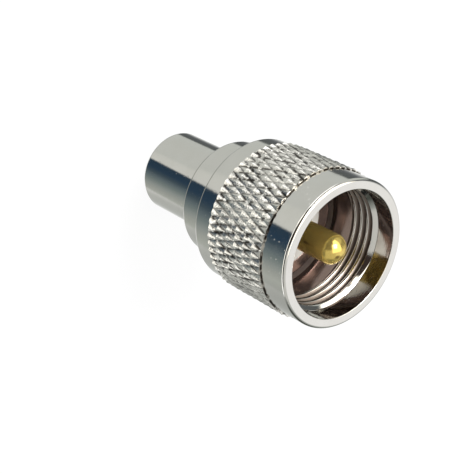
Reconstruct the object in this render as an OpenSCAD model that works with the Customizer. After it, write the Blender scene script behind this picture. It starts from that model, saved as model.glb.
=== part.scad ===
// Coaxial adapter: a plug with a captive knurled coupling nut at the top, and a slim barrel with a
// threaded socket at the bottom. It stands on the barrel's end face, with its axis along Z.

/* [Barrel body] */
// Outside diameter of the plain barrel
barrel_d = 10.6; // [9.4:0.1:13]
// Length of the plain barrel, from its end face to the collar
barrel_len = 11.4; // [10.6:0.1:18]
// Outside diameter of the collar behind the coupling nut
collar_d = 15; // [13:0.1:18]
// Length of the collar
collar_len = 4.6; // [4:0.1:8]
// Bevel round the barrel's end face
barrel_edge = 0.3; // [0.1:0.05:0.6]
// Rounding of the collar's rear edge
collar_edge = 0.4; // [0.1:0.05:0.8]
// Crest diameter of the socket's internal thread
socket_minor_d = 7.2; // [6.4:0.05:7.6]
// Root diameter of the socket's internal thread
socket_major_d = 8; // [7.7:0.05:8.4]
// Depth of the socket, from the end face to its floor
socket_depth = 8.5; // [6:0.1:10]

/* [Plug body] */
// Diameter of the flange that the coupling nut pulls on
flange_d = 14.6; // [13:0.1:14.7]
// Thickness of the flange
flange_len = 2; // [1.8:0.1:3.5]
// Bevel of the flange's front edge
flange_edge = 0.25; // [0.05:0.05:0.5]
// Diameter of the neck that the coupling nut turns on
neck_d = 12; // [11:0.1:12.8]
// Diameter of the spigot that is pressed into the collar
spigot_d = 10; // [9:0.1:10.8]
// Length of the spigot
spigot_len = 3.6; // [2:0.1:4.2]

/* [Insulators] */
// Diameter of the front insulator's face
face_d = 11.2; // [9:0.1:12]
// Thickness of the front insulator's face
face_len = 1.6; // [0.8:0.1:1.7]
// Diameter of the dielectric inside the plug body
dielectric_d = 7.6; // [6:0.1:8.4]
// Diameter of the rear insulator at the socket's floor
rear_stem_d = 5; // [3.6:0.1:6]
// Thickness of the rear insulator's head
rear_head_len = 1.5; // [0.6:0.1:2.4]

/* [Centre contact] */
// Diameter of the plug's pin
pin_d = 3.8; // [3:0.1:5]
// Length of the plug's pin, in front of the insulator
pin_len = 9.9; // [8:0.1:12]
// Height of the pin's domed tip
tip_len = 1.3; // [0.6:0.1:1.9]
// Diameter of the shank inside the insulators
shank_d = 2.4; // [1.6:0.1:2.8]
// Diameter of the socket's pin
small_pin_d = 1; // [0.7:0.05:1.4]
// Length of the socket's pin
small_pin_len = 5.5; // [3:0.1:6]
// Bevel of the small pin's tip
small_pin_edge = 0.25; // [0.1:0.05:0.3]

/* [Coupling nut] */
// Diameter of the plain bands at both ends of the nut
nut_d = 18.5; // [18.2:0.1:22]
// Length of the nut
nut_len = 16.4; // [15.4:0.1:20]
// Length of the plain band at the mouth
front_band_len = 3.8; // [2:0.1:5]
// Length of the plain band at the rear
rear_band_len = 2.8; // [1:0.1:4]
// Rounding of the mouth's outer edge
front_edge = 0.35; // [0.1:0.05:0.6]
// Bevel of the nut's rear edge
rear_edge = 0.4; // [0.1:0.05:0.8]
// Diameter of the plain counterbore at the mouth
mouth_d = 15.95; // [15.9:0.05:16.6]
// Depth of the plain counterbore at the mouth
mouth_len = 2.5; // [1.5:0.1:3.5]
// Crest diameter of the nut's internal thread
thread_minor_d = 14.86; // [14.75:0.01:15.2]
// Length of the threaded wall, with its two run-outs
thread_len = 4.5; // [3:0.1:6]
// Diameter of the undercut behind the thread
undercut_d = 16; // [15.6:0.05:16.6]
// Thickness of the lip that holds the nut behind the flange
lip_len = 3.7; // [1.5:0.1:4.5]

/* [Knurl] */
// Grooves of each hand round the nut
knurl_teeth = 60; // [36:1:72]
// Slant of the grooves to the nut's axis, in degrees
knurl_slant = 18; // [12:1:35]
// Depth of the grooves
knurl_depth = 0.3; // [0.2:0.05:0.5]
// Height of the knurl's points above the plain bands
knurl_rise = 0.35; // [0.05:0.05:0.45]
// Width of the turned groove at each end of the knurl
knurl_relief = 0.15; // [0.1:0.05:0.5]

/* [Fits] */
// Radial clearance of the nut's lip on the neck
running_clearance = 0.08; // [0.04:0.01:0.1]
// Radial clearance of the pressed pieces
press_clearance = 0.02; // [0.01:0.01:0.04]
// Gap between the nut's rear face and the collar
rear_gap = 0.2; // [0.1:0.05:0.6]
// Gap between the nut's lip and the flange
front_gap = 0.25; // [0.1:0.05:0.6]

/* [Hidden] */
$fn = 96;

NICKEL = "#C6C8C4";
GOLD = "#C8A04A";
PTFE = "#F1F0EB";

// Segments of a quarter-round edge, and of the pin's dome
edge_steps = 4;
dome_steps = 8;

// Levels along the axis, from the barrel's end face up
seat_z = barrel_len + collar_len;
spigot_z = seat_z - spigot_len;
rear_head_z = spigot_z - rear_head_len;
nut_z = seat_z + rear_gap;
lip_z = nut_z + lip_len;
flange_z = lip_z + front_gap;
face_z = flange_z + flange_len;
disc_z = face_z - face_len;
mouth_z = nut_z + nut_len;
thread_top_z = mouth_z - mouth_len;
thread_bottom_z = thread_top_z - thread_len;
knurl_bottom_z = nut_z + rear_band_len;
knurl_top_z = mouth_z - front_band_len;

// Radii of the knurl, and of the plain wall under it
knurl_point_r = nut_d / 2 + knurl_rise;
knurl_root_r = knurl_point_r - knurl_depth;
knurl_wall_r = knurl_root_r - knurl_relief / 2;
// The knurled ring is bedded this deep in the plain wall
knurl_bed = (knurl_wall_r - max(mouth_d, undercut_d) / 2) / 2;

// Rows of half diamonds along the knurl, and columns of half diamonds round it
knurl_len = knurl_top_z - knurl_bottom_z - 2 * knurl_relief;
half_diamond_w = PI * (knurl_point_r + knurl_root_r) / (2 * knurl_teeth);
knurl_rows = max(2, round(knurl_len * tan(knurl_slant) / half_diamond_w));
knurl_cols = 2 * knurl_teeth;

// Points of an arc in the half section, about a centre [r, z], from one angle to another
function arc(centre, radius, from, to, steps) =
    [for (i = [0:steps]) let (angle = from + (to - from) * i / steps)
        centre + radius * [cos(angle), sin(angle)]];

// A piece turned about the axis from its half section of [r, z] points
module turned(section) rotate_extrude() polygon(section);

// Half section of the coupling nut, without the knurl
function nut_section() =
    let (nut_r = nut_d / 2, mouth_r = mouth_d / 2, thread_r = thread_minor_d / 2,
         undercut_r = undercut_d / 2, lip_r = neck_d / 2 + running_clearance)
    concat(
        [[lip_r, nut_z], [nut_r - rear_edge, nut_z], [nut_r, nut_z + rear_edge],
         [nut_r, knurl_bottom_z], [knurl_wall_r, knurl_bottom_z],
         [knurl_wall_r, knurl_top_z], [nut_r, knurl_top_z]],
        arc([nut_r - front_edge, mouth_z - front_edge], front_edge, 0, 90, edge_steps),
        [[mouth_r, mouth_z], [mouth_r, thread_top_z],
         [thread_r, thread_top_z - (mouth_r - thread_r)],
         [thread_r, thread_bottom_z + (undercut_r - thread_r)],
         [undercut_r, thread_bottom_z], [undercut_r, lip_z], [lip_r, lip_z]]);

// Ring of pointed diamonds left between two crossing sets of slanting grooves. Its grid of points
// alternates between a diamond's point and a crossing of two grooves, like a chessboard.
module knurled_ring() {
    bottom_z = knurl_bottom_z + knurl_relief;
    bed_r = knurl_wall_r - knurl_bed;
    at = function (r, col, z) [r * cos(360 * col / knurl_cols), r * sin(360 * col / knurl_cols), z];
    grid = [for (row = [0:knurl_rows], col = [0:knurl_cols - 1])
        at((row + col) % 2 == 0 ? knurl_root_r : knurl_point_r, col,
           bottom_z + knurl_len * row / knurl_rows)];
    bed = [for (end = [0, 1], col = [0:knurl_cols - 1]) at(bed_r, col, bottom_z + knurl_len * end)];
    on_grid = function (row, col) row * knurl_cols + col % knurl_cols;
    on_bed = function (end, col) len(grid) + end * knurl_cols + col % knurl_cols;
    diamonds = [for (row = [0:knurl_rows - 1], col = [0:knurl_cols - 1])
        let (a = on_grid(row, col), b = on_grid(row, col + 1),
             c = on_grid(row + 1, col + 1), d = on_grid(row + 1, col))
        each (row + col) % 2 == 0 ? [[a, c, b], [a, d, c]] : [[a, d, b], [b, d, c]]];
    bed_wall = [for (col = [0:knurl_cols - 1])
        [on_bed(0, col), on_bed(0, col + 1), on_bed(1, col + 1), on_bed(1, col)]];
    bottom_end = [for (col = [0:knurl_cols - 1])
        [on_grid(0, col), on_grid(0, col + 1), on_bed(0, col + 1), on_bed(0, col)]];
    top_end = [for (col = [0:knurl_cols - 1])
        [on_bed(1, col), on_bed(1, col + 1), on_grid(knurl_rows, col + 1), on_grid(knurl_rows, col)]];
    polyhedron(concat(grid, bed), concat(diamonds, bed_wall, bottom_end, top_end));
}

// Nut that spins on the plug body's neck and draws the plug on to its mate
module coupling_nut() {
    color(NICKEL) union() {
        turned(nut_section());
        knurled_ring();
    }
}

// Flange, neck and spigot of the plug, bored for the front insulator
module plug_body() {
    bore_r = dielectric_d / 2 + press_clearance;
    face_r = face_d / 2 + press_clearance;
    color(NICKEL) turned([
        [bore_r, spigot_z], [spigot_d / 2, spigot_z], [spigot_d / 2, seat_z], [neck_d / 2, seat_z],
        [neck_d / 2, flange_z], [flange_d / 2, flange_z], [flange_d / 2, face_z - flange_edge],
        [flange_d / 2 - flange_edge, face_z], [face_r, face_z], [face_r, disc_z], [bore_r, disc_z]]);
}

// Collar and barrel in one piece, with the threaded socket at the bottom
module barrel_body() {
    barrel_r = barrel_d / 2;
    collar_r = collar_d / 2;
    spigot_bore_r = spigot_d / 2 + press_clearance;
    head_bore_r = dielectric_d / 2 + press_clearance;
    stem_bore_r = rear_stem_d / 2 + press_clearance;
    socket_r = socket_minor_d / 2;
    lead_in = (socket_major_d - socket_minor_d) / 2;
    color(NICKEL) turned(concat(
        [[socket_r + lead_in, 0], [barrel_r - barrel_edge, 0], [barrel_r, barrel_edge],
         [barrel_r, barrel_len]],
        arc([collar_r - collar_edge, barrel_len + collar_edge], collar_edge, -90, 0, edge_steps),
        [[collar_r, seat_z], [spigot_bore_r, seat_z], [spigot_bore_r, spigot_z],
         [head_bore_r, spigot_z], [head_bore_r, rear_head_z], [stem_bore_r, rear_head_z],
         [stem_bore_r, socket_depth], [socket_r, socket_depth], [socket_r, lead_in]]));
}

// White bush that fills the plug body, with its face level with the flange
module front_insulator() {
    hole_r = shank_d / 2 + press_clearance;
    color(PTFE) turned([
        [hole_r, spigot_z], [dielectric_d / 2, spigot_z], [dielectric_d / 2, disc_z],
        [face_d / 2, disc_z], [face_d / 2, face_z], [hole_r, face_z]]);
}

// White bush between the spigot's end and the socket's floor
module rear_insulator() {
    hole_r = shank_d / 2 + press_clearance;
    color(PTFE) turned([
        [hole_r, socket_depth], [rear_stem_d / 2, socket_depth], [rear_stem_d / 2, rear_head_z],
        [dielectric_d / 2, rear_head_z], [dielectric_d / 2, spigot_z], [hole_r, spigot_z]]);
}

// Turned contact that runs right through: domed plug pin, shank and small socket pin
module centre_contact() {
    pin_r = pin_d / 2;
    small_r = small_pin_d / 2;
    tip_z = face_z + pin_len;
    small_end_z = socket_depth - small_pin_len;
    dome_r = (pin_r * pin_r + tip_len * tip_len) / (2 * tip_len);
    dome_start = asin((dome_r - tip_len) / dome_r);
    color(GOLD) turned(concat(
        [[0, small_end_z], [small_r - small_pin_edge, small_end_z],
         [small_r, small_end_z + small_pin_edge], [small_r, socket_depth],
         [shank_d / 2, socket_depth], [shank_d / 2, face_z], [pin_r, face_z]],
        arc([0, tip_z - dome_r], dome_r, dome_start, 90, dome_steps)));
}

coupling_nut();
plug_body();
barrel_body();
front_insulator();
rear_insulator();
centre_contact();
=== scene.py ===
"""Looks of a coaxial adapter: a plug with a knurled coupling nut, and a barrel with a threaded socket."""
import logging
import math
import random
from collections.abc import Callable, Mapping, Sequence
from dataclasses import dataclass
from enum import Enum

import bmesh
import bpy
from mathutils import Euler, Matrix, Vector


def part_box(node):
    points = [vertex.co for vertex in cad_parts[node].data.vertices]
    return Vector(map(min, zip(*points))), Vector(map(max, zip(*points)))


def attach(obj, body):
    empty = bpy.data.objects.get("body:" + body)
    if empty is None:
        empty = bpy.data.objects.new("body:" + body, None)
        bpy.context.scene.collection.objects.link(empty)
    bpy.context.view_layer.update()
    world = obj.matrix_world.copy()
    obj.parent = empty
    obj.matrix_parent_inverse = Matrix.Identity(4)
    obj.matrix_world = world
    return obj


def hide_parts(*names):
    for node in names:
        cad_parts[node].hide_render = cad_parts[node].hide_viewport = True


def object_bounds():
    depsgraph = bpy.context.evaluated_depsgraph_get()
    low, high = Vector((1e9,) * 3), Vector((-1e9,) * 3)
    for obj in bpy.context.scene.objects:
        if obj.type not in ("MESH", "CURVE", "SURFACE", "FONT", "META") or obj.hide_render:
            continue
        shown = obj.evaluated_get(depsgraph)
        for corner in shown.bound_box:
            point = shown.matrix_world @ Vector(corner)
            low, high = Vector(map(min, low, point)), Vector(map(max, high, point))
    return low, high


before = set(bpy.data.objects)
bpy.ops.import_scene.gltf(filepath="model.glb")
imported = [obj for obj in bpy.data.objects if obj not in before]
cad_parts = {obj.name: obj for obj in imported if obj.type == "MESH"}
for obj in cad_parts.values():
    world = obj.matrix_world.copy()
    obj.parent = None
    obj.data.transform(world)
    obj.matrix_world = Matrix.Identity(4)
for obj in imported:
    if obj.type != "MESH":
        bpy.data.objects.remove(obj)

CAD_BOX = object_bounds()
MM = 0.001
UP = Vector((0.0, 0.0, 1.0))
CENTRE = Vector((0.0, 0.0, 0.0))
FULL_TURN = 2.0 * math.pi
MERGE_MM = 1e-5

# Most of a noise texture's values lie between these two
NOISE_LOW = 0.3
NOISE_HIGH = 0.7

# Sockets of a mix node that hold its two colours and its result
MIX_FIRST = 6
MIX_SECOND = 7
MIX_RESULT = 2

log = logging.getLogger("coax_adapter")


class Body(Enum):
    """Bodies of the frame that a piece can ride on."""

    ADAPTER = "adapter"
    NUT = "nut"


class Finish(Enum):
    """Finishes that a shell of a piece can have."""

    NICKEL = "nickel"
    KNURLED = "knurled nickel"
    THREADED = "threaded nickel"
    BORE = "nickel in the bore"
    RECESS = "nickel in a recess"
    GOLD = "gold"
    PTFE = "ptfe"


class Slot(Enum):
    """Names of the material slots that the pieces hold."""

    NICKEL = "nickel_plate"
    GOLD = "gold_plate"
    PTFE = "ptfe"


def linear(code: str) -> tuple[float, float, float, float]:
    """Turn an sRGB hex code into a linear colour.

    Args:
        code: Colour such as "#C8A04A".

    Returns:
        Linear red, green and blue, with an alpha of 1.
    """
    channels = [int(code[i:i + 2], 16) / 255.0 for i in (1, 3, 5)]
    red, green, blue = [c / 12.92 if c <= 0.04045 else ((c + 0.055) / 1.055) ** 2.4 for c in channels]
    return red, green, blue, 1.0


def add(tree: bpy.types.NodeTree, kind: str, options: Mapping[str, object],
        inputs: Mapping[str | int, object]) -> bpy.types.Node:
    """Add a node with its settings and links.

    Args:
        tree: Node tree that gets the node.
        kind: Node type, such as "ShaderNodeBump".
        options: Properties of the node. "stops" holds a ramp's pairs of place and linear colour.
        inputs: Values of its input sockets by name or number. A socket as a value is linked.

    Returns:
        The new node.
    """
    node = tree.nodes.new(kind)
    for name, value in options.items():
        if name == "stops":
            ramp = node.color_ramp
            while len(ramp.elements) < len(value):
                ramp.elements.new(1.0)
            for element, (place, colour) in zip(ramp.elements, value):
                element.position = place
                element.color = colour
        else:
            setattr(node, name, value)
    for name, value in inputs.items():
        if isinstance(value, bpy.types.NodeSocket):
            tree.links.new(value, node.inputs[name])
        else:
            node.inputs[name].default_value = value
    return node


def per_mm(size: float) -> float:
    """Scale that gives a texture one feature for each size in mm, on coordinates in metres."""
    return 1.0 / (size * MM)


@dataclass(frozen=True)
class PlatedMetal:
    """Plate on turned brass: a smooth mirror with faint lathe lines round the axis and a few small pits.

    The lathe lines of the real pieces are finer than a pixel. They are drawn coarser, so that they show as
    the ragged edges of its reflections. A dull film takes away a share of the mirror and leaves a soft, even
    tone. Sizes are in mm, and a pit's core and rim are shares of the pitch of the pits.
    """

    name: str
    colour: str
    worn_colour: str
    roughness_low: float
    roughness_high: float
    lathe_line: float
    lathe_depth: float
    pit_pitch: float
    pit_depth: float
    mottle: float = 2.5
    dent_depth: float = 0.006
    film: float = 0.0
    lathe_stretch: float = 60.0
    pit_core: float = 0.04
    pit_rim: float = 0.14

    def build(self) -> bpy.types.Material:
        """Make the material.

        Returns:
            The material, with its pattern on Object coordinates.
        """
        material = bpy.data.materials.new(self.name)
        material.use_nodes = True
        tree = material.node_tree
        shader = tree.nodes["Principled BSDF"]
        shader.inputs["Metallic"].default_value = 1.0 - self.film
        place = add(tree, "ShaderNodeTexCoord", {}, {}).outputs["Object"]

        # Broad, faint differences in the plate's colour and polish
        broad = add(tree, "ShaderNodeTexNoise", {}, {
            "Vector": place, "Scale": per_mm(self.mottle), "Detail": 4.0, "Roughness": 0.6})
        plate = add(tree, "ShaderNodeMix", {"data_type": "RGBA"}, {
            "Factor": broad.outputs["Fac"], MIX_FIRST: linear(self.colour),
            MIX_SECOND: linear(self.worn_colour)})
        # The knurl's plate gets painted shade in its grooves here, and the gold plate its worn streaks
        tint = self.wear_and_shade(tree, place, plate.outputs[MIX_RESULT])
        polish = add(tree, "ShaderNodeMapRange", {}, {
            "Value": broad.outputs["Fac"], "From Min": NOISE_LOW, "From Max": NOISE_HIGH,
            "To Min": self.roughness_low, "To Max": self.roughness_high})
        dented = add(tree, "ShaderNodeBump", {}, {
            "Height": broad.outputs["Fac"], "Distance": self.dent_depth * MM, "Strength": 1.0})

        # Lathe lines vary along the axis and hardly at all round it
        round_it = per_mm(self.lathe_line * self.lathe_stretch)
        stretched = add(tree, "ShaderNodeMapping", {}, {
            "Vector": place, "Scale": (round_it, round_it, per_mm(self.lathe_line))})
        lines = add(tree, "ShaderNodeTexNoise", {}, {
            "Vector": stretched.outputs["Vector"], "Scale": 1.0, "Detail": 3.0, "Roughness": 0.55})
        lined = add(tree, "ShaderNodeBump", {}, {
            "Height": lines.outputs["Fac"], "Normal": dented.outputs["Normal"],
            "Distance": self.lathe_depth * MM, "Strength": 1.0})

        # Small pits left by plating and handling
        cells = add(tree, "ShaderNodeTexVoronoi", {"feature": "F1"}, {
            "Vector": place, "Scale": per_mm(self.pit_pitch), "Randomness": 1.0})
        pits = add(tree, "ShaderNodeMapRange", {"interpolation_type": "SMOOTHSTEP"}, {
            "Value": cells.outputs["Distance"], "From Min": self.pit_core, "From Max": self.pit_rim})
        pitted = add(tree, "ShaderNodeBump", {}, {
            "Height": pits.outputs["Result"], "Normal": lined.outputs["Normal"],
            "Distance": self.pit_depth * MM, "Strength": 1.0})

        tree.links.new(tint, shader.inputs["Base Color"])
        tree.links.new(polish.outputs["Result"], shader.inputs["Roughness"])
        tree.links.new(pitted.outputs["Normal"], shader.inputs["Normal"])
        return material

    def wear_and_shade(self, tree: bpy.types.NodeTree, place: bpy.types.NodeSocket,
             plate: bpy.types.NodeSocket) -> bpy.types.NodeSocket:
        """Colour of the plate as it is, clean all over and with no painted shade."""
        return plate


@dataclass(frozen=True)
class KnurledPlate(PlatedMetal):
    """Plate on a knurl: bright on the slopes of the diamonds, with painted shade in patches along the
    grooves.
    """

    # Painted shade in the grooves: its colour, the radius where it is full and where it starts, its patch
    # size and the noise values over which a patch fades in
    groove_shade_colour: str = "#34302A"
    groove_r: float = 9.34
    unshaded_r: float = 9.47
    patch: float = 0.6
    shade_from: float = 0.36
    shade_full: float = 0.54

    def wear_and_shade(self, tree: bpy.types.NodeTree, place: bpy.types.NodeSocket,
             plate: bpy.types.NodeSocket) -> bpy.types.NodeSocket:
        """Paint shade on the plate in patches of the grooves.

        Args:
            tree: The material's nodes.
            place: Object coordinates.
            plate: Colour of the clean plate.

        Returns:
            Colour of the plate, with painted shade that deepens towards the bottoms of the grooves.
        """
        # Painted shade: the plate darkens towards the bottoms of the grooves, in patches of a noise
        across = add(tree, "ShaderNodeVectorMath", {"operation": "MULTIPLY"}, {0: place, 1: (1.0, 1.0, 0.0)})
        radius = add(tree, "ShaderNodeVectorMath", {"operation": "LENGTH"}, {0: across.outputs["Vector"]})
        depth = add(tree, "ShaderNodeMapRange", {"interpolation_type": "SMOOTHSTEP"}, {
            "Value": radius.outputs["Value"], "From Min": self.unshaded_r * MM, "From Max": self.groove_r * MM})
        cloud = add(tree, "ShaderNodeTexNoise", {}, {
            "Vector": place, "Scale": per_mm(self.patch), "Detail": 2.0})
        patchy = add(tree, "ShaderNodeMapRange", {"interpolation_type": "SMOOTHSTEP"}, {
            "Value": cloud.outputs["Fac"], "From Min": self.shade_from, "From Max": self.shade_full})
        groove_shade = add(tree, "ShaderNodeMath", {"operation": "MULTIPLY"}, {
            0: depth.outputs["Result"], 1: patchy.outputs["Result"]})
        shaded = add(tree, "ShaderNodeMix", {"data_type": "RGBA"}, {
            "Factor": groove_shade.outputs["Value"], MIX_FIRST: plate, MIX_SECOND: linear(self.groove_shade_colour)})
        return shaded.outputs[MIX_RESULT]


@dataclass(frozen=True)
class StreakedPlate(PlatedMetal):
    """Thin plate, worn through in a few streaks along the axis where the base metal has gone brown."""

    streak_colour: str = "#5E3C16"
    streak_width: float = 1.1
    streak_len: float = 3.6
    wear_from: float = 0.56
    wear_full: float = 0.7
    wear_most: float = 0.8

    def wear_and_shade(self, tree: bpy.types.NodeTree, place: bpy.types.NodeSocket,
             plate: bpy.types.NodeSocket) -> bpy.types.NodeSocket:
        """Darken the plate in streaks.

        Args:
            tree: The material's nodes.
            place: Object coordinates.
            plate: Colour of the clean plate.

        Returns:
            Colour of the plate with its streaks.
        """
        across = per_mm(self.streak_width)
        stretched = add(tree, "ShaderNodeMapping", {}, {
            "Vector": place, "Scale": (across, across, per_mm(self.streak_len))})
        cloud = add(tree, "ShaderNodeTexNoise", {}, {
            "Vector": stretched.outputs["Vector"], "Scale": 1.0, "Detail": 3.0, "Roughness": 0.6})
        worn = add(tree, "ShaderNodeMapRange", {"interpolation_type": "SMOOTHSTEP"}, {
            "Value": cloud.outputs["Fac"], "From Min": self.wear_from, "From Max": self.wear_full,
            "To Max": self.wear_most})
        streaked = add(tree, "ShaderNodeMix", {"data_type": "RGBA"}, {
            "Factor": worn.outputs["Result"], MIX_FIRST: plate, MIX_SECOND: linear(self.streak_colour)})
        return streaked.outputs[MIX_RESULT]


@dataclass(frozen=True)
class TurnedPtfe:
    """White PTFE turned on a lathe: waxy and matt, with rings of the tool round the axis.

    The real rings are too fine to show, and are drawn coarser. Sizes are in mm.
    """

    name: str = "turned_ptfe"
    colour: str = "#F1EFE9"
    shade: str = "#DEDAD2"
    roughness: float = 0.48
    ior: float = 1.36
    tool_ring: float = 1.131
    ring_depth: float = 0.006
    mottle: float = 1.2

    def build(self) -> bpy.types.Material:
        """Make the material.

        Returns:
            The material, with its pattern on Object coordinates.
        """
        material = bpy.data.materials.new(self.name)
        material.use_nodes = True
        tree = material.node_tree
        shader = tree.nodes["Principled BSDF"]
        shader.inputs["Roughness"].default_value = self.roughness
        shader.inputs["IOR"].default_value = self.ior
        place = add(tree, "ShaderNodeTexCoord", {}, {}).outputs["Object"]

        # A wave texture goes through 20 radians for each unit of its scaled coordinates
        unit_radians = 20.0
        ring_scale = per_mm(self.tool_ring) * FULL_TURN / unit_radians
        rings = add(tree, "ShaderNodeTexWave", {
            "wave_type": "RINGS", "rings_direction": "Z", "wave_profile": "SIN"}, {
            "Vector": place, "Scale": ring_scale, "Distortion": 0.6, "Detail": 1.0})
        cloud = add(tree, "ShaderNodeTexNoise", {}, {
            "Vector": place, "Scale": per_mm(self.mottle), "Detail": 3.0})
        tint = add(tree, "ShaderNodeMix", {"data_type": "RGBA"}, {
            "Factor": cloud.outputs["Fac"], MIX_FIRST: linear(self.colour), MIX_SECOND: linear(self.shade)})
        bump = add(tree, "ShaderNodeBump", {}, {
            "Height": rings.outputs["Fac"], "Distance": self.ring_depth * MM, "Strength": 1.0})
        tree.links.new(tint.outputs[MIX_RESULT], shader.inputs["Base Color"])
        tree.links.new(bump.outputs["Normal"], shader.inputs["Normal"])
        return material


@dataclass(frozen=True)
class Corner:
    """Corner of a half section, in mm, with the size of its rounding."""

    r: float
    z: float
    rounding: float = 0.0


def turn(section: Sequence[Corner], steps: int, closed: bool = True) -> bmesh.types.BMesh:
    """Turn a half section about the axis.

    Args:
        section: Corners in order round the section.
        steps: Facets round the axis.
        closed: False where the section starts and ends on the axis.

    Returns:
        Closed mesh in mm, smooth, with its faces outwards.
    """
    arc_segments = 6
    bm = bmesh.new()
    verts = [bm.verts.new((corner.r, 0.0, corner.z)) for corner in section]
    for first, second in zip(verts, verts[1:] + verts[:1] if closed else verts[1:]):
        bm.edges.new((first, second))
    for size in sorted({corner.rounding for corner in section if corner.rounding}):
        chosen = [v for v, corner in zip(verts, section) if corner.rounding == size]
        bmesh.ops.bevel(bm, geom=chosen, offset=size, offset_type="OFFSET", affect="VERTICES",
                        segments=arc_segments, profile=0.5, material=-1)
    bmesh.ops.spin(bm, geom=bm.verts[:] + bm.edges[:], cent=CENTRE, axis=UP, dvec=CENTRE, angle=FULL_TURN,
                   steps=steps, use_merge=True)
    bmesh.ops.remove_doubles(bm, verts=bm.verts[:], dist=MERGE_MM)
    bmesh.ops.recalc_face_normals(bm, faces=bm.faces[:])
    for face in bm.faces:
        face.smooth = True
    return bm


def set_radius(vert: bmesh.types.BMVert, radius: float) -> None:
    """Move a vertex straight out from the axis or in to it.

    Args:
        vert: Vertex to move.
        radius: New distance from the axis, in mm.
    """
    scale = radius / math.hypot(vert.co.x, vert.co.y)
    vert.co.x *= scale
    vert.co.y *= scale


def only_edges(geom: Sequence[object]) -> list[bmesh.types.BMEdge]:
    """Edges among the elements that an operator gives back."""
    return [element for element in geom if isinstance(element, bmesh.types.BMEdge)]


@dataclass(frozen=True)
class InnerThread:
    """Right-hand ridge of an internal thread, bedded in a plain bore, in mm."""

    pitch: float
    root_r: float
    crest_r: float
    low_z: float
    high_z: float
    steps_per_turn: int = 144
    bed: float = 0.03
    roundness: float = 0.8

    def build(self) -> bmesh.types.BMesh:
        """Wind the ridge, and cut it back by a 45 degree lead-in at both ends.

        Returns:
            Closed mesh in mm, smooth, with its faces outwards.
        """
        base_r = self.root_r + self.bed
        crest_segments = 4
        flank_cuts = 5

        # An internal thread's crest is a quarter of the pitch wide, and its root an eighth
        half_crest = self.pitch / 8.0
        half_base = self.pitch * 7.0 / 16.0
        bm = bmesh.new()
        start_z = self.low_z - half_base
        outline = [(base_r, start_z - half_base), (self.crest_r, start_z - half_crest),
                   (self.crest_r, start_z + half_crest), (base_r, start_z + half_base)]
        verts = [bm.verts.new((r, 0.0, z)) for r, z in outline]
        for pair in zip(verts, verts[1:] + verts[:1]):
            bm.edges.new(pair)
        bmesh.ops.bevel(bm, geom=verts[1:3], offset=half_crest * self.roundness, offset_type="OFFSET",
                        affect="VERTICES", segments=crest_segments, profile=0.5, material=-1)
        height = self.root_r - self.crest_r
        flanks = [e for e in bm.edges if abs(e.verts[0].co.x - e.verts[1].co.x) > height / 2.0]
        bmesh.ops.subdivide_edges(bm, edges=flanks, cuts=flank_cuts)
        turns = math.ceil((self.high_z - self.low_z) / self.pitch) + 1
        steps = turns * self.steps_per_turn
        rim = bm.edges[:]
        bmesh.ops.edgenet_fill(bm, edges=rim)
        step_rise = UP * self.pitch / self.steps_per_turn
        spun = bmesh.ops.spin(bm, geom=rim + bm.verts[:], cent=CENTRE, axis=UP, dvec=step_rise,
                              angle=FULL_TURN * turns, steps=steps)
        bmesh.ops.edgenet_fill(bm, edges=only_edges(spun["geom_last"]))
        for vert in bm.verts:
            lead_in = max(0.0, vert.co.z - self.high_z + height, self.low_z + height - vert.co.z)
            radius = math.hypot(vert.co.x, vert.co.y)
            set_radius(vert, min(base_r, max(radius, self.crest_r + lead_in)))
        for end_z, outward in ((self.low_z, -UP), (self.high_z, UP)):
            cut = bmesh.ops.bisect_plane(bm, geom=bm.verts[:] + bm.edges[:] + bm.faces[:], dist=MERGE_MM,
                                         plane_co=UP * end_z, plane_no=outward, clear_outer=True)
            bmesh.ops.edgenet_fill(bm, edges=only_edges(cut["geom_cut"]))
        bmesh.ops.recalc_face_normals(bm, faces=bm.faces[:])
        for face in bm.faces:
            face.smooth = True
        return bm


@dataclass(frozen=True)
class DiamondKnurl:
    """Ring of diamonds left between two crossing sets of grooves, in mm."""

    low_z: float
    high_z: float
    point_r: float
    root_r: float
    bed_r: float
    teeth: int = 60
    rows: int = 6
    flat: float = 0.09
    end_slope: float = 0.03
    wander: float = 0.05
    shallow: float = 0.12
    seed: int = 7

    def build(self) -> bmesh.types.BMesh:
        """Spin a plain wall, split its faces along the grooves and lift the diamonds' points.

        Returns:
            Closed mesh in mm, with flat facets and its faces outwards.
        """
        columns = 2 * self.teeth
        row_h = (self.high_z - self.low_z - 2.0 * self.end_slope) / self.rows
        first_z = self.low_z + self.end_slope
        chance = random.Random(self.seed)
        bm = bmesh.new()
        levels = [first_z + row_h * row for row in range(self.rows + 1)]
        outline = [(self.bed_r, self.low_z), *[(self.root_r, z) for z in levels], (self.bed_r, self.high_z)]
        verts = [bm.verts.new((r, 0.0, z)) for r, z in outline]
        for first, second in zip(verts, verts[1:] + verts[:1]):
            bm.edges.new((first, second))
        bmesh.ops.spin(bm, geom=bm.verts[:] + bm.edges[:], cent=CENTRE, axis=UP, dvec=CENTRE, angle=FULL_TURN,
                       steps=columns, use_merge=True)
        roots, points = [], []
        for vert in bm.verts:
            if math.hypot(vert.co.x, vert.co.y) < (self.bed_r + self.root_r) / 2.0:
                continue
            column = round(math.atan2(vert.co.y, vert.co.x) / FULL_TURN * columns)
            row = round((vert.co.z - first_z) / row_h)
            (points if (row + column) % 2 else roots).append(vert)
        bmesh.ops.connect_verts(bm, verts=roots)
        for vert in points:
            set_radius(vert, self.point_r - chance.uniform(0.0, self.wander))
            vert.co.z += chance.uniform(-self.wander, self.wander)
        for vert in roots:
            set_radius(vert, self.root_r + chance.uniform(0.0, self.shallow))
        bmesh.ops.bevel(bm, geom=points, offset=self.flat, offset_type="OFFSET", affect="VERTICES",
                        segments=1, profile=0.5, material=-1)
        bmesh.ops.recalc_face_normals(bm, faces=bm.faces[:])
        for face in bm.faces:
            face.smooth = False
        return bm


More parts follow.
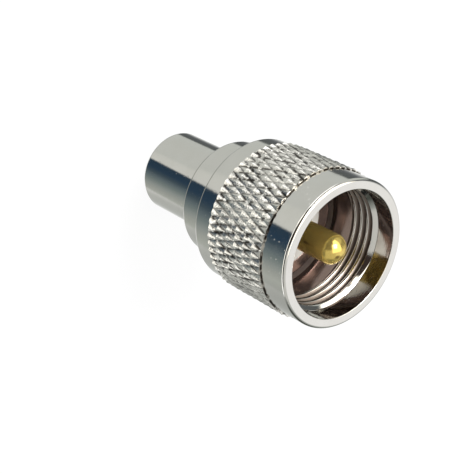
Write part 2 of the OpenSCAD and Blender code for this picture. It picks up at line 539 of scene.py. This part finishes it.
@dataclass(frozen=True)
class Shell:
    """Closed mesh of a piece in mm with its finish, and a rule for other finishes by radius and level."""

    mesh: bmesh.types.BMesh
    finish: Finish
    rule: Callable[[float, float], Finish | None] = lambda radius, level: None

    def finish_at(self, place: Vector) -> Finish:
        """Finish of the face at a place in mm."""
        return self.rule(math.hypot(place.x, place.y), place.z) or self.finish


def make_piece(name: str, shells: Sequence[Shell],
               materials: Mapping[Finish, bpy.types.Material]) -> bpy.types.Object:
    """Join shells in mm into one object in metres.

    Args:
        name: Name of the piece.
        shells: Closed meshes with their finishes. The meshes are freed.
        materials: Material of each finish.

    Returns:
        Object at the origin, with its place in its mesh.
    """
    corner_angle = math.radians(32.0)
    joined = bmesh.new()
    finishes: list[Finish] = []
    for shell in shells:
        for face in shell.mesh.faces:
            finish = shell.finish_at(face.calc_center_median())
            if finish not in finishes:
                finishes.append(finish)
            face.material_index = finishes.index(finish)
        part = bpy.data.meshes.new(name)
        shell.mesh.to_mesh(part)
        joined.from_mesh(part)
        shell.mesh.free()
        bpy.data.meshes.remove(part)
    bmesh.ops.scale(joined, vec=(MM, MM, MM), verts=joined.verts[:])
    mesh = bpy.data.meshes.new(name)
    joined.to_mesh(mesh)
    joined.free()
    mesh.set_sharp_from_angle(angle=corner_angle)
    for finish in finishes:
        mesh.materials.append(materials[finish])
    piece = bpy.data.objects.new(name, mesh)
    bpy.context.scene.collection.objects.link(piece)
    weights = piece.modifiers.new("flat_faces_keep_their_normals", "WEIGHTED_NORMAL")
    weights.keep_sharp = True
    return piece


def levels_mm(node: str) -> tuple[float, float]:
    """Lowest and highest level of a CAD node, in mm."""
    low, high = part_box(node)
    return low.z / MM, high.z / MM


def radius_mm(node: str) -> float:
    """Largest radius of a CAD node about the axis, in mm."""
    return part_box(node)[1].x / MM


@dataclass
class TurnedPiece:
    """Piece of the adapter that takes the place of one CAD node."""

    node: str
    body: Body
    slot: Slot
    steps: int = 192

    def shells(self) -> list[Shell]:
        """Closed meshes of the piece, in mm, with their finishes."""
        raise NotImplementedError

    def build(self, materials: Mapping[Finish, bpy.types.Material]) -> bpy.types.Object:
        """Make the piece, dress it and put it on its body.

        Args:
            materials: Material of each finish.

        Returns:
            The finished piece.
        """
        piece = make_piece(f"{self.node}_turned", self.shells(), materials)
        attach(piece, self.body.value)
        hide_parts(self.node)
        log.info("%s: %d faces on %s", piece.name, len(piece.data.polygons), self.body.value)
        return piece


@dataclass
class CouplingNut(TurnedPiece):
    """Knurled nut that turns on the plug body and screws on to the mating socket, in mm."""

    node: str = "coupling_nut"
    body: Body = Body.NUT
    slot: Slot = Slot.NICKEL
    steps: int = 240
    band_r: float = 9.25
    front_band: float = 3.8
    rear_band: float = 2.8
    front_edge: float = 0.35
    rear_edge: float = 0.4
    inner_edge: float = 0.08
    mouth_r: float = 7.975
    mouth_depth: float = 2.5
    thread_pitch: float = 25.4 / 24.0
    thread_root_r: float = 7.94
    thread_crest_r: float = 7.43
    thread_len: float = 4.5
    crest_shine: float = 0.09
    undercut_r: float = 8.0
    lip_r: float = 6.08
    lip_len: float = 3.7
    knurl_depth: float = 0.3
    knurl_relief: float = 0.15

    def shells(self) -> list[Shell]:
        """Make the plain turned wall, the diamond knurl and the internal thread.

        Returns:
            Closed meshes in mm, with their finishes.
        """
        low, high = levels_mm(self.node)
        point_r = radius_mm(self.node)
        root_r = point_r - self.knurl_depth
        wall_r = root_r - self.knurl_relief / 2.0
        knurl_low, knurl_high = low + self.rear_band, high - self.front_band
        thread_high = high - self.mouth_depth
        thread_low = thread_high - self.thread_len
        flange_z = levels_mm("plug_body")[1]
        band_edge = 0.02
        wall = turn([
            Corner(self.lip_r, low, self.inner_edge),
            Corner(self.band_r, low, self.rear_edge),
            Corner(self.band_r, knurl_low, band_edge),
            Corner(wall_r, knurl_low),
            Corner(wall_r, knurl_high),
            Corner(self.band_r, knurl_high, band_edge),
            Corner(self.band_r, high, self.front_edge),
            Corner(self.mouth_r, high, self.inner_edge),
            Corner(self.mouth_r, thread_high),
            Corner(self.thread_root_r, thread_high),
            Corner(self.thread_root_r, thread_low),
            Corner(self.undercut_r, thread_low),
            Corner(self.undercut_r, flange_z),
            Corner(self.undercut_r, low + self.lip_len),
            Corner(self.lip_r, low + self.lip_len, self.inner_edge)], self.steps)
        knurl = DiamondKnurl(knurl_low + self.knurl_relief, knurl_high - self.knurl_relief, point_r, root_r,
                             wall_r - self.knurl_relief)
        thread = InnerThread(self.thread_pitch, self.thread_root_r, self.thread_crest_r, thread_low,
                             thread_high)
        inner_r = self.undercut_r + self.inner_edge
        crest_r = self.thread_crest_r + self.crest_shine
        lead_in_z = thread_high - (self.thread_root_r - self.thread_crest_r)

        def wall_rule(r: float, z: float) -> Finish | None:
            """Matt from the rear face to the flange's level, then dull up to the counterbore, both in colours
            of painted shade.

            Args:
                r: Radius at a face's middle.
                z: Level of a face's middle.

            Returns:
                The face's finish, or None for the wall's own.
            """
            if r > inner_r or not low < z < thread_high:
                return None
            return Finish.RECESS if z < flange_z else Finish.BORE

        def thread_rule(r: float, z: float) -> Finish | None:
            """Bright outside plate on the crests, which the mating thread rubs, and on the lead-in; the
            flanks keep the painted shade.
            """
            return Finish.NICKEL if r < crest_r or z > lead_in_z else None

        return [Shell(wall, Finish.NICKEL, wall_rule), Shell(knurl.build(), Finish.KNURLED),
                Shell(thread.build(), Finish.THREADED, thread_rule)]


@dataclass
class PlugBody(TurnedPiece):
    """Flange, neck and spigot inside the coupling nut, in mm."""

    node: str = "plug_body"
    body: Body = Body.ADAPTER
    slot: Slot = Slot.NICKEL
    flange_len: float = 2.0
    flange_edge: float = 0.25
    neck_r: float = 6.0
    spigot_r: float = 5.0
    spigot_len: float = 3.6
    face_r: float = 5.62
    face_len: float = 1.6
    bore_r: float = 3.82

    def shells(self) -> list[Shell]:
        """Turn the body.

        Returns:
            Closed mesh in mm, with its finishes.
        """
        low, high = levels_mm(self.node)
        flange_r = radius_mm(self.node)
        small_edge = 0.06

        def side_rule(r: float, z: float) -> Finish | None:
            """Matt below the flange's rounded front edge, in a colour of painted shade."""
            return Finish.RECESS if z < high - self.flange_edge else None

        # The plug sits inside the nut, so all of it gets a colour of painted shade
        return [Shell(turn([
            Corner(self.bore_r, low),
            Corner(self.spigot_r, low, small_edge),
            Corner(self.spigot_r, low + self.spigot_len),
            Corner(self.neck_r, low + self.spigot_len, small_edge),
            Corner(self.neck_r, high - self.flange_len),
            Corner(flange_r, high - self.flange_len, small_edge),
            Corner(flange_r, high, self.flange_edge),
            Corner(self.face_r, high, small_edge),
            Corner(self.face_r, high - self.face_len),
            Corner(self.bore_r, high - self.face_len)], self.steps), Finish.BORE, side_rule)]


@dataclass
class BarrelBody(TurnedPiece):
    """Collar and slim barrel, with the threaded socket in its far end, in mm."""

    node: str = "barrel_body"
    body: Body = Body.ADAPTER
    slot: Slot = Slot.NICKEL
    barrel_r: float = 5.3
    barrel_len: float = 11.4
    barrel_edge: float = 0.3
    collar_edge: float = 0.4
    thread_pitch: float = 0.75
    thread_crest_r: float = 3.6
    thread_root_r: float = 4.0
    socket_depth: float = 8.5
    thread_end_gap: float = 1.2
    floor_r: float = 2.52
    head_r: float = 3.82
    head_z: float = 10.9
    spigot_r: float = 5.02
    spigot_z: float = 12.4

    def shells(self) -> list[Shell]:
        """Turn the body and wind the socket's thread.

        Returns:
            Closed meshes in mm, with their finishes.
        """
        low, high = levels_mm(self.node)
        collar_r = radius_mm(self.node)
        small_edge = 0.08
        wall = turn([
            Corner(self.thread_root_r, low, small_edge),
            Corner(self.barrel_r, low, self.barrel_edge),
            Corner(self.barrel_r, low + self.barrel_len),
            Corner(collar_r, low + self.barrel_len, self.collar_edge),
            Corner(collar_r, high, small_edge),
            Corner(self.spigot_r, high),
            Corner(self.spigot_r, low + self.spigot_z),
            Corner(self.head_r, low + self.spigot_z),
            Corner(self.head_r, low + self.head_z),
            Corner(self.floor_r, low + self.head_z),
            Corner(self.floor_r, low + self.socket_depth, small_edge),
            Corner(self.thread_root_r, low + self.socket_depth)], self.steps)
        thread = InnerThread(self.thread_pitch, self.thread_root_r, self.thread_crest_r, low,
                             low + self.socket_depth - self.thread_end_gap, steps_per_turn=96)
        return [Shell(wall, Finish.NICKEL), Shell(thread.build(), Finish.THREADED)]


@dataclass
class FrontInsulator(TurnedPiece):
    """White bush round the plug's pin, with its face level with the flange, in mm."""

    node: str = "front_insulator"
    body: Body = Body.ADAPTER
    slot: Slot = Slot.PTFE
    hole_r: float = 1.22
    stem_r: float = 3.8
    face_len: float = 1.6

    def shells(self) -> list[Shell]:
        """Turn the bush.

        Returns:
            Closed mesh in mm, with its finish.
        """
        low, high = levels_mm(self.node)
        face_r = radius_mm(self.node)
        small_edge = 0.08
        return [Shell(turn([
            Corner(self.hole_r, low),
            Corner(self.stem_r, low, small_edge),
            Corner(self.stem_r, high - self.face_len),
            Corner(face_r, high - self.face_len, small_edge),
            Corner(face_r, high, small_edge),
            Corner(self.hole_r, high, small_edge)], self.steps), Finish.PTFE)]


@dataclass
class RearInsulator(TurnedPiece):
    """White bush at the floor of the barrel's socket, in mm."""

    node: str = "rear_insulator"
    body: Body = Body.ADAPTER
    slot: Slot = Slot.PTFE
    hole_r: float = 1.22
    stem_r: float = 2.5
    head_len: float = 1.5

    def shells(self) -> list[Shell]:
        """Turn the bush.

        Returns:
            Closed mesh in mm, with its finish.
        """
        low, high = levels_mm(self.node)
        head_r = radius_mm(self.node)
        small_edge = 0.08
        return [Shell(turn([
            Corner(self.hole_r, low, small_edge),
            Corner(self.stem_r, low, small_edge),
            Corner(self.stem_r, high - self.head_len),
            Corner(head_r, high - self.head_len, small_edge),
            Corner(head_r, high, small_edge),
            Corner(self.hole_r, high)], self.steps), Finish.PTFE)]


@dataclass
class CentreContact(TurnedPiece):
    """Gold contact that runs right through: domed plug pin, shank and small socket pin, in mm."""

    node: str = "centre_contact"
    body: Body = Body.ADAPTER
    slot: Slot = Slot.GOLD
    steps: int = 128
    pin_len: float = 9.9
    tip_len: float = 1.3
    shank_r: float = 1.2
    small_r: float = 0.5
    small_len: float = 5.5
    small_edge: float = 0.25
    dome_steps: int = 16

    def shells(self) -> list[Shell]:
        """Turn the contact.

        Returns:
            Closed mesh in mm, with its finish.
        """
        low, high = levels_mm(self.node)
        pin_r = radius_mm(self.node)
        dome_r = (pin_r ** 2 + self.tip_len ** 2) / (2.0 * self.tip_len)
        start = math.asin((dome_r - self.tip_len) / dome_r)
        angles = [start + (math.pi / 2.0 - start) * i / self.dome_steps for i in range(self.dome_steps)]
        dome = [Corner(dome_r * math.cos(a), high - dome_r + dome_r * math.sin(a)) for a in angles]
        return [Shell(turn([
            Corner(0.0, low),
            Corner(self.small_r, low, self.small_edge),
            Corner(self.small_r, low + self.small_len),
            Corner(self.shank_r, low + self.small_len),
            Corner(self.shank_r, high - self.pin_len),
            Corner(pin_r, high - self.pin_len),
            *dome,
            Corner(0.0, high)], self.steps, closed=False), Finish.GOLD)]


@dataclass(frozen=True)
class Viewpoint:
    """Camera at the photograph's viewing angle, for a square picture. Places are in mm."""

    eye: tuple[float, float, float] = (-0.19, -108.17, 122.21)
    forward: tuple[float, float, float] = (0.02756, 0.7125, -0.70112)
    roll: float = 118.11
    focal_px: float = 1214.9
    picture_px: float = 474.0
    sensor: float = 36.0

    def turn(self) -> Matrix:
        """Rotation of the camera, with its right, up and back as columns."""
        level = Vector(self.forward).to_track_quat("-Z", "Y").to_matrix()
        return level @ Matrix.Rotation(math.radians(self.roll), 3, "Z")

    def build(self) -> bpy.types.Object:
        """Make the camera and set it as the scene's own.

        Returns:
            The camera's object.
        """
        camera = bpy.data.cameras.new("camera")
        camera.sensor_width = self.sensor
        camera.lens = self.focal_px / self.picture_px * self.sensor
        camera.clip_start = MM
        camera.clip_end = 10.0
        holder = bpy.data.objects.new("camera", camera)
        bpy.context.scene.collection.objects.link(holder)
        holder.matrix_world = Matrix.Translation(Vector(self.eye) * MM) @ self.turn().to_4x4()
        bpy.context.scene.camera = holder
        return holder


@dataclass(frozen=True)
class Panel:
    """Lit or dark panel of the tent, by its middle, half its size and its soft edge, in degrees.

    Azimuth 0 is behind the object, and 90 is to the right.
    """

    azimuth: float
    elevation: float
    half_width: float
    half_height: float
    colour: str
    level: float
    edge: float


@dataclass
class Studio:
    """Pale floor, a key lamp, and a tent with shaded sides and panels that shiny pieces mirror.

    The tent stands square to the viewpoint, which looks down into it at the pitch. Its sides are pairs of an
    elevation in degrees and a colour.
    """

    viewpoint: Viewpoint
    pitch: float = 25.0
    floor_size: float = 4.0
    floor_glow: float = 0.9
    floor_colour: str = "#FCFCFC"
    left_side: tuple[tuple[float, str], ...] = (
        (-70.0, "#50544E"), (-58.0, "#A4A8A4"), (-44.0, "#B4B8B4"), (-34.0, "#BEC3BD"), (-27.0, "#B1B6B1"),
        (-20.0, "#A0A8A6"), (-12.0, "#828E8E"), (-5.0, "#6B797F"), (2.5, "#485863"), (10.0, "#30455A"),
        (21.0, "#2C4052"), (23.0, "#E6E7E3"), (38.0, "#E0E2DD"), (56.0, "#DADCD8"), (68.0, "#50544E"))
    other_sides: tuple[tuple[float, str], ...] = (
        (-70.0, "#50544E"), (-58.0, "#A4A8A4"), (-48.0, "#B8BBB8"), (-38.0, "#CCCFCC"), (-28.0, "#FFFFFF"),
        (-22.0, "#FFFFFF"), (-8.0, "#D8DAD8"), (0.0, "#86888A"), (5.0, "#666A6C"), (17.5, "#606464"),
        (20.5, "#D4D8D4"), (56.0, "#DADCD8"), (68.0, "#50544E"))
    left_from: float = -61.0
    left_to: float = -67.0
    panels: tuple[Panel, ...] = (
        # Grey card behind on the left, pale cloth under the camera, and the dark room above it
        Panel(-46.0, 3.0, 14.0, 22.0, "#A4A6A0", 1.0, 6.0),
        Panel(180.0, -22.0, 40.0, 28.0, "#DCDCD8", 1.0, 8.0),
        Panel(180.0, 46.0, 58.0, 36.0, "#3A302C", 1.0, 8.0),
        # White roof, with a brighter strip under it
        Panel(-60.0, 81.0, 110.0, 10.0, "#FFFFFF", 1.1, 8.0),
        Panel(-35.0, 62.0, 50.0, 8.0, "#FFFFFF", 2.4, 4.0),
        # Tall softbox on the left in three parts, and a dark card between it and the camera
        Panel(-101.0, 4.0, 9.0, 29.0, "#FFFDF6", 2.1, 2.0),
        Panel(-97.0, 46.0, 15.0, 9.0, "#FFFDF6", 2.4, 3.0),
        Panel(-98.0, -38.0, 10.0, 12.0, "#FFFFFF", 2.3, 3.0),
        Panel(-132.0, 2.0, 17.0, 40.0, "#2A2C2C", 1.0, 4.0),
        # White card on the right that the rim mirrors, and a softbox in two parts that the mouth mirrors
        Panel(97.0, -26.0, 14.0, 8.0, "#FFFFFF", 1.12, 8.0),
        Panel(130.0, 14.0, 30.0, 25.0, "#FFF9EC", 2.5, 5.0),
        Panel(123.0, 49.0, 19.0, 10.0, "#FFF9EC", 3.2, 5.0),
    )
    key_place: tuple[float, float, float] = (-0.225, -0.11, 0.5)
    key_size: float = 0.22
    key_level: float = 13.0

    def build(self) -> None:
        """Make the floor, the tent and the key lamp."""
        self.build_floor()
        self.build_tent()
        self.build_key()

    def build_floor(self) -> None:
        """Lay a white floor that keeps a faint shadow."""
        bm = bmesh.new()
        bmesh.ops.create_grid(bm, x_segments=2, y_segments=2, size=self.floor_size / 2.0)
        mesh = bpy.data.meshes.new("studio_floor")
        bm.to_mesh(mesh)
        bm.free()
        floor = bpy.data.objects.new("studio_floor", mesh)
        bpy.context.scene.collection.objects.link(floor)
        floor.location.z = CAD_BOX[0].z
        floor.visible_glossy = False
        material = bpy.data.materials.new("matt_white_paper")
        material.use_nodes = True
        tree = material.node_tree
        tree.nodes.remove(tree.nodes["Principled BSDF"])
        rays = add(tree, "ShaderNodeLightPath", {}, {})
        matt = add(tree, "ShaderNodeBsdfDiffuse", {}, {"Color": linear(self.floor_colour)})
        glow = add(tree, "ShaderNodeEmission", {}, {"Color": linear("#FFFFFF"), "Strength": 1.0})
        share = add(tree, "ShaderNodeMath", {"operation": "MULTIPLY"}, {
            0: rays.outputs["Is Camera Ray"], 1: self.floor_glow})
        mix = add(tree, "ShaderNodeMixShader", {}, {
            "Fac": share.outputs["Value"], 1: matt.outputs["BSDF"], 2: glow.outputs["Emission"]})
        tree.links.new(mix.outputs["Shader"], tree.nodes["Material Output"].inputs["Surface"])
        mesh.materials.append(material)

    def tent_turn(self) -> Euler:
        """Rotation to the tent's frame, with right along X, away from the camera along Y and up along Z."""
        tilt = Matrix.Rotation(math.radians(90.0 - self.pitch), 3, "X")
        return (tilt @ self.viewpoint.turn().transposed()).to_euler()

    def build_tent(self) -> None:
        """Light the room evenly, and give shiny pieces a tent to mirror."""
        world = bpy.data.worlds.new("white_tent")
        bpy.context.scene.world = world
        world.use_nodes = True
        tree = world.node_tree
        plain = tree.nodes["Background"]
        plain.inputs["Color"].default_value = linear("#FFFFFF")
        plain.inputs["Strength"].default_value = 1.0
        rays = add(tree, "ShaderNodeLightPath", {}, {})
        looking = add(tree, "ShaderNodeTexCoord", {}, {}).outputs["Generated"]
        turned = add(tree, "ShaderNodeMapping", {}, {"Vector": looking, "Rotation": self.tent_turn()})
        axes = add(tree, "ShaderNodeSeparateXYZ", {}, {"Vector": turned.outputs["Vector"]})
        elevation = add(tree, "ShaderNodeMath", {"operation": "ARCSINE"}, {
            0: axes.outputs["Z"]}).outputs["Value"]
        azimuth = add(tree, "ShaderNodeMath", {"operation": "ARCTAN2"}, {
            0: axes.outputs["X"], 1: axes.outputs["Y"]}).outputs["Value"]
        rise = add(tree, "ShaderNodeMapRange", {}, {
            "Value": elevation, "From Min": -math.pi / 2.0, "From Max": math.pi / 2.0}).outputs["Result"]
        left, others = [add(tree, "ShaderNodeValToRGB", {
            "stops": [((angle + 90.0) / 180.0, linear(colour)) for angle, colour in side]}, {
            "Fac": rise}).outputs["Color"] for side in (self.left_side, self.other_sides)]
        leftness = add(tree, "ShaderNodeMapRange", {"interpolation_type": "SMOOTHSTEP"}, {
            "Value": azimuth, "From Min": math.radians(self.left_from),
            "From Max": math.radians(self.left_to)})
        sides = add(tree, "ShaderNodeMix", {"data_type": "RGBA"}, {
            "Factor": leftness.outputs["Result"], MIX_FIRST: others, MIX_SECOND: left})
        colour = sides.outputs[MIX_RESULT]
        for panel in self.panels:
            colour = self.hang(tree, panel, azimuth, elevation, colour)
        tent = add(tree, "ShaderNodeBackground", {}, {"Color": colour, "Strength": 1.0})

        # Only glossy rays see the tent. The camera and matt surfaces get plain white
        mix = add(tree, "ShaderNodeMixShader", {}, {
            "Fac": rays.outputs["Is Glossy Ray"], 1: plain.outputs["Background"],
            2: tent.outputs["Background"]})
        tree.links.new(mix.outputs["Shader"], tree.nodes["World Output"].inputs["Surface"])

    def hang(self, tree: bpy.types.NodeTree, panel: Panel, azimuth: bpy.types.NodeSocket,
             elevation: bpy.types.NodeSocket, behind: bpy.types.NodeSocket) -> bpy.types.NodeSocket:
        """Hang a panel in the tent.

        Args:
            tree: The world's nodes.
            panel: The panel.
            azimuth: Azimuth that a ray looks at.
            elevation: Elevation that a ray looks at.
            behind: Colour of the tent without the panel.

        Returns:
            Colour of the tent with the panel.
        """
        inside = []
        for angle, middle, half in ((azimuth, panel.azimuth, panel.half_width),
                                    (elevation, panel.elevation, panel.half_height)):
            off = add(tree, "ShaderNodeMath", {"operation": "SUBTRACT"}, {0: angle, 1: math.radians(middle)})
            near = add(tree, "ShaderNodeMath", {"operation": "WRAP"}, {
                0: off.outputs["Value"], 1: math.pi, 2: -math.pi})
            away = add(tree, "ShaderNodeMath", {"operation": "ABSOLUTE"}, {0: near.outputs["Value"]})
            inside.append(add(tree, "ShaderNodeMapRange", {"interpolation_type": "SMOOTHSTEP"}, {
                "Value": away.outputs["Value"], "From Min": math.radians(half),
                "From Max": math.radians(half + panel.edge), "To Min": 1.0, "To Max": 0.0}).outputs["Result"])
        mask = add(tree, "ShaderNodeMath", {"operation": "MULTIPLY"}, {0: inside[0], 1: inside[1]})
        glow = [channel * panel.level for channel in linear(panel.colour)[:3]]
        hung = add(tree, "ShaderNodeMix", {"data_type": "RGBA"}, {
            "Factor": mask.outputs["Value"], MIX_FIRST: behind, MIX_SECOND: (*glow, 1.0)})
        return hung.outputs[MIX_RESULT]

    def build_key(self) -> None:
        """Hang the key lamp over the plug's mouth, facing it."""
        lamp = bpy.data.lights.new("key_softbox", "AREA")
        lamp.size = self.key_size

        # The power grows with the lamp's area, so that another size is as bright to look at
        lamp.energy = self.key_level * math.pi * self.key_size ** 2
        holder = bpy.data.objects.new("key_softbox", lamp)
        bpy.context.scene.collection.objects.link(holder)
        mouth = Vector((0.0, 0.0, CAD_BOX[1].z))
        holder.location = mouth + Vector(self.key_place)
        holder.rotation_euler = Vector(self.key_place).to_track_quat("Z", "Y").to_euler()


LOOKS: Mapping[Finish, PlatedMetal | TurnedPtfe] = {
    # A clear mirror on the turned outside
    Finish.NICKEL: PlatedMetal(
        name="bright_nickel_plate", colour="#DCDAD6", worn_colour="#D2D0CA", roughness_low=0.05,
        roughness_high=0.11, lathe_line=0.22, lathe_depth=0.003, pit_pitch=0.7, pit_depth=0.004),
    # A broken glitter, because each diamond is dented a little, and painted shade in patches of the grooves
    Finish.KNURLED: KnurledPlate(
        name="nickel_plate_on_knurl", colour="#DCDAD5", worn_colour="#CECBC4", roughness_low=0.14,
        roughness_high=0.24, lathe_line=0.3, lathe_depth=0.002, pit_pitch=0.4, pit_depth=0.004,
        mottle=0.3, dent_depth=0.035, film=0.06),
    # A satin tone on the flanks that a tool has cut, in a darker, warmer colour than the outside plate:
    # painted shade for the inside of a bore
    Finish.THREADED: PlatedMetal(
        name="shaded_nickel_plate_on_cut_thread", colour="#8C8078", worn_colour="#7A7068", roughness_low=0.3,
        roughness_high=0.4, lathe_line=0.25, lathe_depth=0.0015, pit_pitch=0.5, pit_depth=0.002, film=0.12),
    # A warm, dim mirror: its darker, brownish colour is painted shade for the inside of the nut
    Finish.BORE: PlatedMetal(
        name="dull_shaded_nickel_plate_in_bore", colour="#9C8C86", worn_colour="#8A7B75", roughness_low=0.1,
        roughness_high=0.18, lathe_line=0.22, lathe_depth=0.002, pit_pitch=0.5, pit_depth=0.003, film=0.12),
    # An even grey with hardly any mirror, in a darker, warm colour that is painted shade for the deep recess
    # behind the flange
    Finish.RECESS: PlatedMetal(
        name="matt_shaded_nickel_plate_in_recess", colour="#A8988F", worn_colour="#948680", roughness_low=0.35,
        roughness_high=0.45, lathe_line=0.22, lathe_depth=0.002, pit_pitch=0.5, pit_depth=0.003, film=0.7),
    # A soft yellow shine with a few brown streaks
    Finish.GOLD: StreakedPlate(
        name="thin_gold_plate", colour="#DCC674", worn_colour="#C8AA54", roughness_low=0.12,
        roughness_high=0.24, lathe_line=0.2, lathe_depth=0.001, pit_pitch=0.6, pit_depth=0.002, film=0.25),
    # A waxy, matt white
    Finish.PTFE: TurnedPtfe(),
}


def main() -> None:
    """Build the camera, the studio and every piece of the adapter."""
    logging.basicConfig(level=logging.INFO, format="%(message)s")
    bpy.context.scene.view_settings.view_transform = "Standard"
    viewpoint = Viewpoint()
    viewpoint.build()
    Studio(viewpoint).build()
    materials = {finish: look.build() for finish, look in LOOKS.items()}
    pieces = (BarrelBody(), PlugBody(), FrontInsulator(), RearInsulator(), CentreContact(), CouplingNut())
    for piece in pieces:
        piece.build(materials)


if __name__ == "__main__":
    main()
